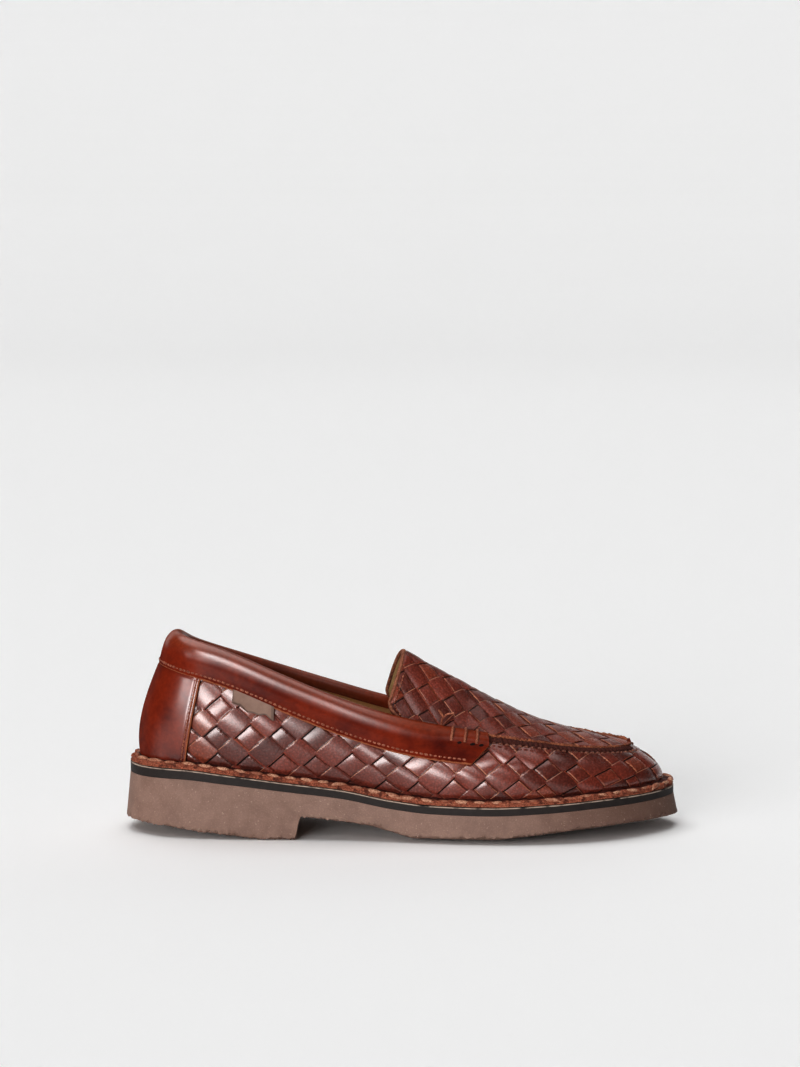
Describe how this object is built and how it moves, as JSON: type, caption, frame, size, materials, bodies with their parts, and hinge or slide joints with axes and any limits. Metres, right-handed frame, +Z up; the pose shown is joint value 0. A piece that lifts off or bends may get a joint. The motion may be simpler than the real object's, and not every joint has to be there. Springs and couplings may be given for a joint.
{
  "type": "woven moccasin",
  "caption": "Right woven leather moccasin: low collar, tongue, smooth heel counter and collar band, stitched-down edge, dark midsole and crepe sole with heel.",
  "frame": {"origin": "on the floor, under the middle of the shoe's box", "axes": "+X to the toe, +Y to the inner side of the foot, +Z up"},
  "size_m": [0.288, 0.1032, 0.1036],
  "materials": {
    "crepe_rubber": "matte, speckled",
    "dark_rubber": "matte",
    "insole_leather": "matte",
    "woven_leather": "pebbled, waxed",
    "smooth_leather": "burnished",
    "tag_leather": "matte"
  },
  "bodies": {
    "root": {"outsole": "crepe_rubber", "midsole": "dark_rubber", "insole": "insole_leather", "upper": "woven_leather", "collar_band": "smooth_leather", "heel_counter": "smooth_leather", "quarter_tag": "tag_leather"}
  },
  "joints": []
}
